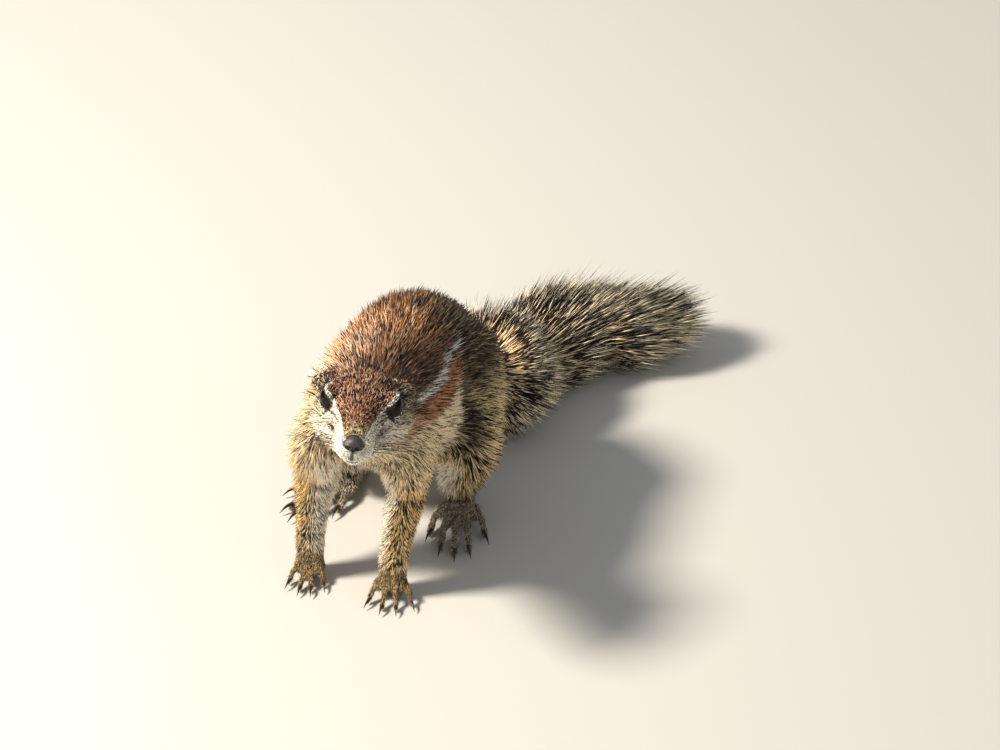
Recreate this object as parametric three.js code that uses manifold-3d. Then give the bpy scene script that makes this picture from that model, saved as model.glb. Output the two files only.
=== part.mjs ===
// A Cape ground squirrel, life size, as a still museum model. It stands on all four feet with its back
// arched and its head raised, looking a little to its left, and its tail lies on the ground behind it.
// Millimetres, +Z up, head towards -Y, the animal's left towards +X. Every solid is the outline of the
// coat, out to the tips of the hair, and each piece of the body is cut by its neighbours with a thin gap.
import * as THREE from 'three';
import { mergeVertices } from 'three/addons/utils/BufferGeometryUtils.js';
import Module from 'manifold-3d';

const wasm = await Module();
wasm.setup();

// Driving sizes
const GAP = 0.3; // between any two pieces
const SLICE = 400; // side of the block that cuts the soles flat
const HEAD_PITCH = 16; // degrees that the muzzle points up
const HEAD_TURN = 16; // degrees that the muzzle points to the left
const HEAD_TILT = 5; // degrees that the left side of the head is lower
const NOSE_TIP = [13.6, -75.5, 114.6];
const NOSE_RADII = [4.8, 3.4, 3.8];
const EYE_RADIUS = 4.8;
const EYE_PLACE = [12.9, 26, 10.8]; // out from the middle of the head, back from the nose, up
const EAR_RADII = [1.5, 3.2, 4.8];
const EAR_PLACE = [17.6, 44.5, 12.2];
const EAR_TURN = 38; // degrees that the ear opens forwards from straight sideways
const MOUTH_BACK = 17; // how far the cleft of the mouth runs back from the nose
const MOUTH_HALF = 9; // half its width
const MOUTH_DROP = 7.6; // how far it is below the nose tip
const FORE_TOE = 1.6; // half the thickness of a toe
const HIND_TOE = 1.8;
const FORE_CLAW = { length: 5.2, root: 0.95 }; // past the toe's end, and half the thickness at its root
const HIND_CLAW = { length: 7, root: 1.15 };
const CLAW_TIP = 0.4; // half the thickness of a claw's tip
const WELD = 1e-4; // corners closer than this are one corner

// Colours of the coat and the bare parts, with their roughness
const COAT = {
  cinnamon: [0xa8683c, 0.9],
  chestnut: [0x8f5a3c, 0.9],
  ochre: [0xb09455, 0.9],
  cream: [0xd2c09a, 0.9],
  grizzled: [0x6a5a48, 0.9],
  eye: [0x14100e, 0.08],
  nose: [0x5a504c, 0.6],
  horn: [0x2a221e, 0.5],
};

const X = new THREE.Vector3(1, 0, 0);
const vector = ([x, y, z]) => new THREE.Vector3(x, y, z);

// The closed mesh as a solid that can be joined and cut.
function solid(geometry) {
  const bare = geometry.clone();
  bare.deleteAttribute('normal');
  bare.deleteAttribute('uv');
  const merged = mergeVertices(bare, WELD);
  const vertProperties = new Float32Array(merged.attributes.position.array);
  const triVerts = new Uint32Array(merged.index.array);
  return new wasm.Manifold(new wasm.Mesh({ numProp: 3, vertProperties, triVerts }));
}

function geometryOf(manifold) {
  const mesh = manifold.getMesh();
  const geometry = new THREE.BufferGeometry();
  geometry.setAttribute('position', new THREE.BufferAttribute(mesh.vertProperties, 3));
  geometry.setIndex(new THREE.BufferAttribute(mesh.triVerts, 1));
  geometry.computeVertexNormals();
  return geometry;
}

function join(solids) {
  return solids.reduce((sum, next) => sum.add(next));
}

// A closed solid carried along a smooth path through the stations. Each station has its centre, half its
// width, and its height over and under the centre. `sides` and `steps` say how many corners a ring has and
// how many rings a stretch has, `span` takes only the stretch between two stations, `ends` gives how far
// each end bulges (0 is flat) with `caps` rings, `across` says which way the width lies, and `grow` makes
// the whole solid larger all round.
function loft(stations, options = {}) {
  const { sides = 12, steps = 1, span, ends = [0, 0], caps = 2, across = X, grow = 0, place } = options;
  const whole = stations.length - 1;
  const [from, to] = span ?? [0, whole];
  const path = new THREE.CatmullRomCurve3(stations.map((s) => vector(s.at)), false, 'centripetal');
  const sizes = new THREE.CatmullRomCurve3(
    stations.map((s) => new THREE.Vector3(s.wide, s.over, s.under ?? s.over)),
  );
  const positions = [];
  const ring = (t, ahead, scale) => {
    const tangent = path.getTangent(t);
    const size = sizes.getPoint(t);
    const over = new THREE.Vector3().crossVectors(across, tangent).normalize();
    const side = new THREE.Vector3().crossVectors(tangent, over).normalize();
    for (let i = 0; i < sides; i += 1) {
      const angle = (2 * Math.PI * i) / sides;
      const rise = Math.sin(angle) >= 0 ? size.y : size.z;
      const p = path.getPoint(t).addScaledVector(tangent, ahead);
      p.addScaledVector(side, Math.cos(angle) * (size.x + grow) * scale);
      p.addScaledVector(over, Math.sin(angle) * (rise + grow) * scale);
      positions.push(...p.toArray());
    }
  };
  const bulge = (t, direction, length) => {
    if (length === 0) ring(t, direction * grow, 1);
    const rounds = length > 0 ? caps : 0;
    const angles = Array.from({ length: rounds }, (_, i) => ((i + 1) * Math.PI) / 2 / (caps + 0.6));
    if (direction < 0) angles.reverse();
    angles.forEach((angle) => ring(t, direction * Math.sin(angle) * (length + grow), Math.cos(angle)));
  };
  const tip = (t, reach) => path.getPoint(t).addScaledVector(path.getTangent(t), reach).toArray();
  const count = (to - from) * steps;
  bulge(from / whole, -1, ends[0]);
  for (let i = ends[0] > 0 ? 0 : 1; i <= (ends[1] > 0 ? count : count - 1); i += 1) {
    ring((from + i / steps) / whole, 0, 1);
  }
  bulge(to / whole, 1, ends[1]);
  const rings = positions.length / 3 / sides;
  positions.push(...tip(from / whole, -ends[0] - grow), ...tip(to / whole, ends[1] + grow));
  const index = [];
  for (let r = 0; r < rings - 1; r += 1) {
    for (let i = 0; i < sides; i += 1) {
      const a = r * sides + i;
      const b = r * sides + ((i + 1) % sides);
      index.push(a, b, a + sides, b, b + sides, a + sides);
    }
  }
  for (let i = 0; i < sides; i += 1) {
    const next = (i + 1) % sides;
    index.push(rings * sides, next, i);
    index.push(rings * sides + 1, (rings - 1) * sides + i, (rings - 1) * sides + next);
  }
  const geometry = new THREE.BufferGeometry();
  geometry.setAttribute('position', new THREE.Float32BufferAttribute(positions, 3));
  geometry.setIndex(index);
  if (place) geometry.applyMatrix4(place);
  const made = solid(geometry);
  if (made.volume() > 0) return made;
  geometry.setIndex(index.reverse());
  return solid(geometry);
}

// An ellipsoid, turned about Z and then put in place.
function ball(centre, radii, { grow = 0, turn = 0, detail = 12, place } = {}) {
  const geometry = new THREE.SphereGeometry(1, detail, Math.round(detail * 0.7));
  geometry.scale(radii[0] + grow, radii[1] + grow, radii[2] + grow);
  geometry.rotateZ(THREE.MathUtils.degToRad(turn));
  geometry.translate(...centre);
  if (place) geometry.applyMatrix4(place);
  return solid(geometry);
}

// A block from its lowest corner to its highest, in the frame of `place`.
function block(low, high, { grow = 0, place } = {}) {
  const size = high.map((v, i) => v - low[i] + 2 * grow);
  const geometry = new THREE.BoxGeometry(...size);
  geometry.translate(...high.map((v, i) => (v + low[i]) / 2));
  if (place) geometry.applyMatrix4(place);
  return solid(geometry);
}

// The head's own frame: nose at the origin, back of the head towards +Y, crown up.
const headPlace = new THREE.Matrix4()
  .makeTranslation(...NOSE_TIP)
  .multiply(new THREE.Matrix4().makeRotationZ(THREE.MathUtils.degToRad(HEAD_TURN)))
  .multiply(new THREE.Matrix4().makeRotationX(THREE.MathUtils.degToRad(-HEAD_PITCH)))
  .multiply(new THREE.Matrix4().makeRotationY(THREE.MathUtils.degToRad(HEAD_TILT)));

// Each row is a distance behind the nose, half the width there, and the heights of the upper and lower
// outlines.
const HEAD_OUTLINE = [
  { back: 3, half: 6.6, top: 4.4, bottom: -10.4 },
  { back: 8, half: 8.4, top: 7.2, bottom: -13.2 },
  { back: 14, half: 10.4, top: 11.0, bottom: -15.0 },
  { back: 20, half: 13.6, top: 15.2, bottom: -16.4 },
  { back: 27, half: 17.6, top: 19.2, bottom: -17.8 },
  { back: 36, half: 20.2, top: 21.8, bottom: -18.8 },
  { back: 45, half: 20.6, top: 21.6, bottom: -18.8 },
  { back: 54, half: 18.4, top: 18.2, bottom: -17.0 },
];

function headWhole(grow) {
  const stations = HEAD_OUTLINE.map(({ back, half, top, bottom }) => ({
    at: [0, back, (top + bottom) / 2],
    wide: half,
    over: (top - bottom) / 2,
  }));
  return loft(stations, { sides: 16, ends: [3, 6], place: headPlace, grow });
}

// The lower jaw is the part of the head under the cleft of the mouth.
function jawRegion(grow) {
  const low = [-MOUTH_HALF, -MOUTH_BACK, -SLICE];
  return block(low, [MOUTH_HALF, MOUTH_BACK, -MOUTH_DROP], { grow, place: headPlace });
}

function eye(side, grow) {
  const [out, back, up] = EYE_PLACE;
  const radii = [EYE_RADIUS, EYE_RADIUS, EYE_RADIUS];
  return ball([side * out, back, up], radii, { grow, detail: 10, place: headPlace });
}

function ear(side, grow) {
  const [out, back, up] = EAR_PLACE;
  const turn = -side * EAR_TURN;
  return ball([side * out, back, up], EAR_RADII, { grow, turn, detail: 8, place: headPlace });
}

function nose(grow) {
  const back = NOSE_RADII[1] - 0.8;
  return ball([0, back, 0.3], NOSE_RADII, { grow, detail: 10, place: headPlace });
}

// The neck and trunk follow one line from the head down over the arched back to the root of the tail.
const SPINE = [
  { at: [3, -38, 102], wide: 17, over: 17, under: 18 },
  { at: [1, -27, 94], wide: 21.5, over: 19, under: 21 },
  { at: [-2, -14, 83], wide: 27, over: 19, under: 32 },
  { at: [-4, 2, 75], wide: 31, over: 26, under: 35 },
  { at: [-6, 22, 72], wide: 32, over: 37, under: 36 },
  { at: [-6, 43, 70], wide: 30, over: 46.5, under: 37 },
  { at: [-3, 61, 62], wide: 27, over: 42.5, under: 31 },
  { at: [4, 74, 50], wide: 23, over: 28, under: 22 },
  { at: [8, 80, 42], wide: 16, over: 18, under: 15 },
];

function spine(span, ends, grow) {
  return loft(SPINE, { sides: 16, steps: 2, span, ends, across: X.clone().negate(), grow });
}

// The tail: a flat brush that comes down from the rump and lies on the ground, bent to the left.
const TAIL = [
  { at: [8.5, 74, 46], wide: 10, over: 9, under: 9 },
  { at: [8, 92, 33], wide: 18, over: 15, under: 15 },
  { at: [6.5, 117, 22], wide: 25, over: 18, under: 21 },
  { at: [13.5, 149, 19], wide: 31, over: 21.5, under: 19.4 },
  { at: [29.5, 178, 18.6], wide: 33, over: 22.4, under: 19 },
  { at: [49, 196, 14.5], wide: 26, over: 19, under: 14.9 },
  { at: [65, 210, 9.5], wide: 10, over: 8, under: 8 },
];

function tail(span, ends, grow) {
  return loft(TAIL, { sides: 14, steps: 2, span, ends, across: X.clone().negate(), grow });
}

// Front legs. The trunk leans to the left over the feet, so the two sides differ. The heading is how many
// degrees the foot points outwards, and the spread is how far its toes are apart.
const FRONT = {
  R: {
    side: -1,
    shoulder: [-21, -12, 80],
    elbow: [-28, -10, 54],
    wrist: [-28.8, -20.5, 15],
    heading: 12,
    spread: 0.8,
  },
  L: {
    side: 1,
    shoulder: [14, -12, 80],
    elbow: [14, -10, 54],
    wrist: [9.8, -21, 15],
    heading: 14,
    spread: 1,
  },
};
// Each toe lies `out` from the foot's middle line, its tip `reach` ahead of the wrist or heel, and its claw
// swings `bend` further out.
const FORE_TOES = [
  { out: -8.8, reach: 11.6, bend: -3.2 },
  { out: -3, reach: 15.8, bend: -1.4 },
  { out: 2.6, reach: 15.8, bend: 1.2 },
  { out: 8.8, reach: 11.6, bend: 3.2 },
];

function upperArm({ shoulder, elbow }, grow) {
  const middle = shoulder.map((v, i) => (v + elbow[i]) / 2);
  const stations = [
    { at: shoulder, wide: 10, over: 15 },
    { at: [middle[0], middle[1] - 3, middle[2]], wide: 11, over: 16 },
    { at: elbow, wide: 9.4, over: 12 },
  ];
  return loft(stations, { sides: 12, steps: 2, ends: [8, 8], grow });
}

function forearm({ elbow, wrist }, grow) {
  const along = (t, i) => elbow[i] + (wrist[i] - elbow[i]) * t;
  const stations = [
    { at: elbow, wide: 8.8, over: 10 },
    { at: [along(0.45, 0), along(0.45, 1) - 1.5, along(0.45, 2)], wide: 7.4, over: 7.8 },
    { at: [along(0.8, 0), along(0.8, 1) - 0.8, along(0.8, 2)], wide: 6.2, over: 6 },
    { at: wrist, wide: 6, over: 5.2 },
  ];
  return loft(stations, { sides: 12, ends: [4, 2], caps: 1, grow });
}

// A point of a foot: `out` to the outer side and `ahead` of the wrist or heel, turned by the heading.
function footPoint(origin, side, heading, out, ahead, up) {
  const angle = THREE.MathUtils.degToRad(heading);
  const x = origin[0] + side * out * Math.cos(angle) + ahead * Math.sin(angle);
  const y = origin[1] + side * out * Math.sin(angle) - ahead * Math.cos(angle);
  return [x, y, up];
}

// A toe runs from the body of the foot over a raised knuckle to the claw's root, and is a little slimmer
// there.
function toe(place, { out, reach, bend }, base, thickness, knuckle, grow) {
  const slim = thickness * 0.95;
  const stations = [
    { at: place(out * 0.62, base, knuckle * 0.85), wide: thickness, over: thickness },
    { at: place(out * 0.88, (base + reach) * 0.52, knuckle), wide: thickness, over: thickness },
    { at: place(out + bend * 0.2, reach - 1, thickness * 0.72), wide: slim, over: slim },
  ];
  return loft(stations, { sides: 6, ends: [0, 1.4], caps: 1, grow });
}

function claw(place, { out, reach, bend }, length, root, grow) {
  const stations = [
    { at: place(out + bend * 0.1, reach - 1.2, root * 2.1), wide: root, over: root * 1.15 },
    { at: place(out + bend * 0.45, reach + length * 0.5, root * 2.0), wide: root * 0.72, over: root * 0.85 },
    { at: place(out + bend * 0.85, reach + length, root * 0.7), wide: CLAW_TIP, over: CLAW_TIP },
  ];
  return loft(stations, { sides: 5, steps: 2, grow });
}

function forePlace(leg) {
  const { side, wrist, heading, spread } = leg;
  return (out, ahead, up) => footPoint(wrist, side, heading, out * spread, ahead, up);
}

function foreFoot(leg, grow) {
  const place = forePlace(leg);
  const palm = loft(
    [
      { at: leg.wrist, wide: 5.6, over: 4.8 },
      { at: place(0, 0, 9), wide: 6, over: 4.8 },
      { at: place(0, 2, 5), wide: 6.8, over: 5.8 },
      { at: place(0, 4.6, 3.4), wide: 6.2, over: 4.4 },
    ],
    { sides: 12, ends: [1, 1.2], caps: 1, grow },
  );
  const thumb = loft(
    [
      { at: place(-3.5, 1, 8.5), wide: 2, over: 2 },
      { at: place(-7.6, 2.2, 5.4), wide: 1.5, over: 1.5 },
    ],
    { sides: 6, ends: [0, 1.2], caps: 1, grow },
  );
  const toes = FORE_TOES.map((t) => toe(place, t, 1.5, FORE_TOE, 5.4, grow));
  return join([palm, thumb, ...toes]);
}

// Hind legs, folded under the haunches with the whole foot on the ground. The heel's place is its point on
// the ground.
const HIND = {
  R: {
    side: -1,
    hip: [-20, 60, 80],
    thigh: [-24, 50, 60],
    knee: [-32, 32, 42],
    heel: [-33, 59, 0],
    heading: -20,
  },
  L: {
    side: 1,
    hip: [14, 60, 80],
    thigh: [18, 50, 60],
    knee: [26, 32, 42],
    heel: [12, 57, 0],
    heading: 18,
  },
};
const HIND_TOES = [
  { out: -11.5, reach: 34, bend: -3.5, base: 15 },
  { out: -6.8, reach: 45, bend: -1.6, base: 21.5 },
  { out: -0.8, reach: 48.5, bend: 0, base: 22 },
  { out: 5.2, reach: 45.5, bend: 1.6, base: 21.5 },
  { out: 11.5, reach: 35, bend: 3.5, base: 15 },
];

function thigh({ hip, thigh: middle, knee }, grow) {
  const stations = [
    { at: hip, wide: 13, over: 18, under: 20 },
    { at: middle, wide: 15.5, over: 28, under: 25 },
    { at: knee, wide: 12, over: 21, under: 17 },
  ];
  return loft(stations, { sides: 14, steps: 2, ends: [9, 11], grow });
}

function hindPlace(leg) {
  return (out, ahead, up) => footPoint(leg.heel, leg.side, leg.heading, out, ahead, up);
}

function shank(leg, grow) {
  const ankle = hindPlace(leg)(0, 7, 14);
  const middle = leg.knee.map((v, i) => v * 0.45 + ankle[i] * 0.55);
  const stations = [
    { at: leg.knee, wide: 10, over: 13 },
    { at: middle, wide: 10, over: 13 },
    { at: ankle, wide: 7.6, over: 8 },
  ];
  return loft(stations, { sides: 12, ends: [2, 3], caps: 1, grow });
}

function hindFoot(leg, grow) {
  const place = hindPlace(leg);
  const sole = loft(
    [
      { at: place(0, 2, 5.6), wide: 5.2, over: 6.4 },
      { at: place(0, 10, 5.8), wide: 6, over: 6.8 },
      { at: place(0, 19, 4.8), wide: 6.6, over: 5.8 },
      { at: place(0, 25, 3.9), wide: 7.6, over: 4.6 },
    ],
    { sides: 12, ends: [3, 1.6], caps: 1, grow },
  );
  const toes = HIND_TOES.map((t) => toe(place, t, t.base, HIND_TOE, 5.2, grow));
  return join([sole, ...toes]);
}

// Every piece, in the order in which it cuts the ones after it: small hard parts first, the trunk last.
const pieces = [];
const piece = (name, coat, form) => pieces.push({ name, coat, form });
const SIDES = ['L', 'R'];

for (const s of SIDES) {
  FORE_TOES.forEach((t, i) => {
    const form = (grow) => claw(forePlace(FRONT[s]), t, FORE_CLAW.length, FORE_CLAW.root, grow);
    piece(`fore_claw_${s}${i + 1}`, 'horn', form);
  });
  HIND_TOES.forEach((t, i) => {
    const form = (grow) => claw(hindPlace(HIND[s]), t, HIND_CLAW.length, HIND_CLAW.root, grow);
    piece(`hind_claw_${s}${i + 1}`, 'horn', form);
  });
}
piece('nose', 'nose', nose);
for (const s of SIDES) {
  piece(`eye_${s}`, 'eye', (grow) => eye(s === 'L' ? 1 : -1, grow));
  piece(`ear_${s}`, 'cream', (grow) => ear(s === 'L' ? 1 : -1, grow));
}
for (const s of SIDES) {
  piece(`fore_foot_${s}`, 'ochre', (grow) => foreFoot(FRONT[s], grow));
  piece(`hind_foot_${s}`, 'ochre', (grow) => hindFoot(HIND[s], grow));
  piece(`forearm_${s}`, 'ochre', (grow) => forearm(FRONT[s], grow));
  piece(`shank_${s}`, 'grizzled', (grow) => shank(HIND[s], grow));
}
piece('jaw', 'cream', (grow) => headWhole(grow).intersect(jawRegion(grow)));
piece('head', 'chestnut', headWhole);
for (const s of SIDES) {
  piece(`upper_arm_${s}`, 'ochre', (grow) => upperArm(FRONT[s], grow));
  piece(`thigh_${s}`, 'ochre', (grow) => thigh(HIND[s], grow));
}
piece('tail_root', 'grizzled', (grow) => tail([0, 2], [4, 0], grow));
piece('tail_middle', 'grizzled', (grow) => tail([2, 4], [0, 0], grow));
piece('tail_tip', 'grizzled', (grow) => tail([4, 6], [0, 6], grow));
piece('neck', 'cinnamon', (grow) => spine([0, 2], [4, 0], grow));
piece('chest', 'cinnamon', (grow) => spine([2, 4], [0, 0], grow));
piece('rump', 'cinnamon', (grow) => spine([4, 8], [0, 9], grow));

const underfoot = block([-SLICE / 2, -SLICE / 2, -SLICE], [SLICE / 2, SLICE, 0]);

// A cut can leave a crumb beside the piece, so only its largest body is kept.
function largest(manifold) {
  const bodies = manifold.decompose();
  return bodies.reduce((best, next) => (next.volume() > best.volume() ? next : best));
}

function touches(a, b) {
  const p = a.boundingBox();
  const q = b.boundingBox();
  return [0, 1, 2].every((i) => p.min[i] < q.max[i] && q.min[i] < p.max[i]);
}

const squirrel = new THREE.Group();
const cutters = [];
for (const { name, coat, form } of pieces) {
  let body = form(0).subtract(underfoot);
  for (const cutter of cutters) {
    if (touches(body, cutter)) body = body.subtract(cutter);
  }
  const [color, roughness] = COAT[coat];
  const material = new THREE.MeshStandardMaterial({ color, roughness, metalness: 0 });
  const mesh = new THREE.Mesh(geometryOf(largest(body)), material);
  mesh.name = name;
  squirrel.add(mesh);
  cutters.push(form(GAP));
}

// The origin is on the ground under the middle of the whole animal.
const outline = new THREE.Box3().setFromObject(squirrel);
const middle = outline.getCenter(new THREE.Vector3());
squirrel.position.set(-middle.x, -middle.y, 0);

export default squirrel;
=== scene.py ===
"""A Cape ground squirrel, life size, as a still museum model. It stands on all fours with its back arched and
its head raised and turned a little to its left, and its bushy tail lies on the ground behind it."""
import math

import bmesh
import bpy
import numpy as np
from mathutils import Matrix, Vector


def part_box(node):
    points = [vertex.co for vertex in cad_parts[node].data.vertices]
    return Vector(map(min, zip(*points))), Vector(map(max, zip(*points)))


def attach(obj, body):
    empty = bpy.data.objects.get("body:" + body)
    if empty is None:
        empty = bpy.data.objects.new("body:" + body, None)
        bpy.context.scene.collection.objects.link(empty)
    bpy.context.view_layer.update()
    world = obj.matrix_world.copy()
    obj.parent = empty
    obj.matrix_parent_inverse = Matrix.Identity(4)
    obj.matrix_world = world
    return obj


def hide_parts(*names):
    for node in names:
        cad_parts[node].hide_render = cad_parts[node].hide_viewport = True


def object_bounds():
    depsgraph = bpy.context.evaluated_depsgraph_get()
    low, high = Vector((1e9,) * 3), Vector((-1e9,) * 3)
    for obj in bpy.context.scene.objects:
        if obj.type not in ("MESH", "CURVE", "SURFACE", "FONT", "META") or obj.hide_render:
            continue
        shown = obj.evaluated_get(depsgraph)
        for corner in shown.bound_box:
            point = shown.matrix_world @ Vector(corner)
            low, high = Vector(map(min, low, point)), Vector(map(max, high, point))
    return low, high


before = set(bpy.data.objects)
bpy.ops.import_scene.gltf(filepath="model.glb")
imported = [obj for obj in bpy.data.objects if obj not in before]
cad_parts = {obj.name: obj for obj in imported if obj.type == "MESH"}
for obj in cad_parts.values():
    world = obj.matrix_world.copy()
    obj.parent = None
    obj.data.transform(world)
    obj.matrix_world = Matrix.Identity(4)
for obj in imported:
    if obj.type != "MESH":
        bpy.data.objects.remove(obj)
cad_low, cad_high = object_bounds()

# The camera stands well above the animal, ahead of it and to its left, with a long lens, so that the near
# paws and the far tail keep almost the same scale. It is aimed a little left of and before the middle.
CAMERA_AZIMUTH, CAMERA_HEIGHT = math.radians(20), math.radians(35)
CAMERA_DISTANCE = 3.0
AIM_OFF_MIDDLE = np.array([0.0241, -0.0123, 0.0034])
aim = (np.array(cad_low) + np.array(cad_high)) / 2 + AIM_OFF_MIDDLE
toward = np.array([
    math.sin(CAMERA_AZIMUTH) * math.cos(CAMERA_HEIGHT),
    -math.cos(CAMERA_AZIMUTH) * math.cos(CAMERA_HEIGHT),
    math.sin(CAMERA_HEIGHT),
])
lens = bpy.data.cameras.new("long_lens")
lens.lens, lens.sensor_width = 248.4, 36
camera = bpy.data.objects.new("camera", lens)
camera.location = aim + toward * CAMERA_DISTANCE
camera.rotation_euler = (math.pi / 2 - CAMERA_HEIGHT, 0, CAMERA_AZIMUTH)
bpy.context.scene.collection.objects.link(camera)
bpy.context.scene.camera = camera


# The bones that the body is built on: each is a straight line between two places, with the body's usual
# thickness round it. They say which part of the animal a point belongs to and which way its hair lies.
def corners(node):
    """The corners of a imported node, one row each, in metres."""
    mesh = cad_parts[node].data
    place = np.empty(len(mesh.vertices) * 3, np.float32)
    mesh.vertices.foreach_get("co", place)
    return place.reshape(-1, 3).astype(float)


def middle_at(node, axis, share, reach=0.16):
    """The middle of a node's slice, which is centred at `share` of its length along one axis."""
    place = corners(node)
    low, high = place[:, axis].min(), place[:, axis].max()
    level = (place[:, axis] - low) / (high - low)
    piece = place[np.abs(level - share) < reach]
    return (piece.min(0) + piece.max(0)) / 2


def centre(node):
    """The middle of a node's box."""
    low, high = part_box(node)
    return (np.array(low) + np.array(high)) / 2


nose_middle = centre("nose")
eye_middle = {side: centre(f"eye_{side}") for side in "LR"}
left_of_head = eye_middle["L"] - eye_middle["R"]
left_of_head /= np.linalg.norm(left_of_head)
FOREHEAD_RISE = math.radians(22.5)  # of the line from the nose to between the eyes, over the head's axis
forehead = (eye_middle["L"] + eye_middle["R"]) / 2 - nose_middle
forehead /= np.linalg.norm(forehead)
off_forehead = np.cross(left_of_head, forehead)
back_of_head = forehead * math.cos(FOREHEAD_RISE) - off_forehead * math.sin(FOREHEAD_RISE)
up_of_head = np.cross(left_of_head, back_of_head)
HEAD_AXES = np.stack([left_of_head, back_of_head, up_of_head])
NOSE_TIP = nose_middle - np.array([0, 0.0026, 0.0003]) @ HEAD_AXES


def in_head(points):
    """Places in the head's own frame: left of the middle, behind the nose tip, and above it."""
    return (points - NOSE_TIP) @ HEAD_AXES.T


def from_head(places):
    """The way back from the head's own frame."""
    return places @ HEAD_AXES + NOSE_TIP


neck_front = middle_at("neck", 1, 0.12)
neck_rear = middle_at("neck", 1, 0.9)
chest_rear = middle_at("chest", 1, 0.95)
rump_middle = middle_at("rump", 1, 0.45)
rump_rear = middle_at("rump", 1, 0.92)
tail_start = rump_rear - [0, 0, 0.012]
tail_bend = middle_at("tail_root", 1, 0.85)
tail_low = middle_at("tail_middle", 1, 0.45)
tail_far = middle_at("tail_tip", 1, 0.3)
tail_end = middle_at("tail_tip", 1, 0.97, 0.05)
BONES = {
    "head": (from_head(np.array([0, 0.006, -0.003])), from_head(np.array([0, 0.050, 0.001])), 0.017),
    "neck": (neck_front, neck_rear, 0.021),
    "chest": (neck_rear, chest_rear, 0.031),
    "rump": (chest_rear, rump_middle, 0.037),
    "hips": (rump_middle, rump_rear, 0.030),
    "tail_1": (tail_start, tail_bend, 0.008),
    "tail_2": (tail_bend, tail_low, 0.004),
    "tail_3": (tail_low, tail_end, 0.003),
}
for side in "LR":
    shoulder = middle_at(f"upper_arm_{side}", 2, 0.9)
    elbow = middle_at(f"forearm_{side}", 2, 0.92)
    wrist = middle_at(f"forearm_{side}", 2, 0.08)
    finger = middle_at(f"fore_foot_{side}", 1, 0.1)
    hip = middle_at(f"thigh_{side}", 2, 0.8)
    knee = middle_at(f"shank_{side}", 2, 0.85)
    ankle = middle_at(f"shank_{side}", 2, 0.12)
    heel = middle_at(f"hind_foot_{side}", 1, 0.9)
    toes = middle_at(f"hind_foot_{side}", 1, 0.15)
    BONES[f"upper_arm_{side}"] = (shoulder, elbow, 0.012)
    BONES[f"forearm_{side}"] = (elbow, wrist, 0.0065)
    BONES[f"fore_foot_{side}"] = (wrist * [1, 1, 0.6], finger * [1, 1, 0.5], 0.006)
    BONES[f"thigh_{side}"] = (hip, knee, 0.018)
    BONES[f"shank_{side}"] = (knee, ankle, 0.010)
    BONES[f"hind_foot_{side}"] = (heel, toes, 0.008)
PARTS = list(BONES)


def nearness(points):
    """How much each point belongs to each bone. The distance to a bone is counted from its thickness, and
    the weights fall off fast with it, so that they change smoothly where two parts meet."""
    gaps = []
    for start, end, radius in BONES.values():
        along = end - start
        share = np.clip((points - start) @ along / (along @ along), 0, 1)
        gaps.append(np.linalg.norm(points - start - share[:, None] * along, axis=1) - radius)
    gap = np.stack(gaps, axis=1)
    weight = np.exp(-(gap - gap.min(1, keepdims=True)) / 0.0022)
    return weight / weight.sum(1, keepdims=True)


def blended(weight, per_part, default):
    """A value for each point, mixed from the values given for the parts of the body."""
    return weight @ np.array([per_part.get(name.rstrip("_LR123"), default) for name in PARTS], float)


# The skin: one closed hide from nose to tail, which everything else grows from. It is shaped over the
# solids of the body, smoothed, and sunk under them by the depth of the coat at each place.
FLESH = [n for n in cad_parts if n.split("_")[0] not in ("eye", "nose") and "claw" not in n]
SKIN_STEP = 0.0011
OVERLAP = {"fore_foot": 0.00005, "hind_foot": 0.00005, "eye": 0.0}  # that makes neighbours meet, in metres
SOFTNESS = {  # how strongly each part is smoothed, so that its solid's facets go
    "head": 0.02, "fore_foot": 0.0, "hind_foot": 0.0, "forearm": 0.03, "shank": 0.06, "upper_arm": 0.3,
    "thigh": 0.4, "tail": 0.4,
}
COAT_DEPTH = {  # in metres
    "head": 0.0024, "neck": 0.0048, "chest": 0.0060, "rump": 0.0068, "hips": 0.0068, "tail": 0.0,
    "upper_arm": 0.0038, "forearm": 0.0022, "fore_foot": 0.0004,
    "thigh": 0.0052, "shank": 0.0034, "hind_foot": 0.0003,
}


def grown_copy(node):
    """The corners and faces of a node, with each corner moved out along its normal by a small length."""
    out = OVERLAP.get(node[:-2], 0.0003)
    bm = bmesh.new()
    bm.from_mesh(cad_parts[node].data)
    bmesh.ops.remove_doubles(bm, verts=bm.verts, dist=1e-6)
    bm.normal_update()
    place = np.array([v.co + v.normal * out for v in bm.verts])
    faces = [[v.index for v in f.verts] for f in bm.faces]
    bm.free()
    return place, faces


def wrapped(rows, columns):
    """The faces of a closed form made of rows of rings, with a last corner at each end: four-sided faces
    between the rings, and a fan of triangles from each end's corner to the ring beside it."""
    row, column = np.divmod(np.arange((rows - 1) * columns), columns)
    a, b = row * columns + column, row * columns + (column + 1) % columns
    faces = np.stack([a, b, b + columns, a + columns], axis=1).tolist()
    around = np.arange(columns)
    beside = (around + 1) % columns
    last, end = (rows - 1) * columns, np.full(columns, rows * columns)
    faces += np.stack([end, beside, around], axis=1).tolist()
    faces += np.stack([end + 1, last + around, last + beside], axis=1).tolist()
    return faces


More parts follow.
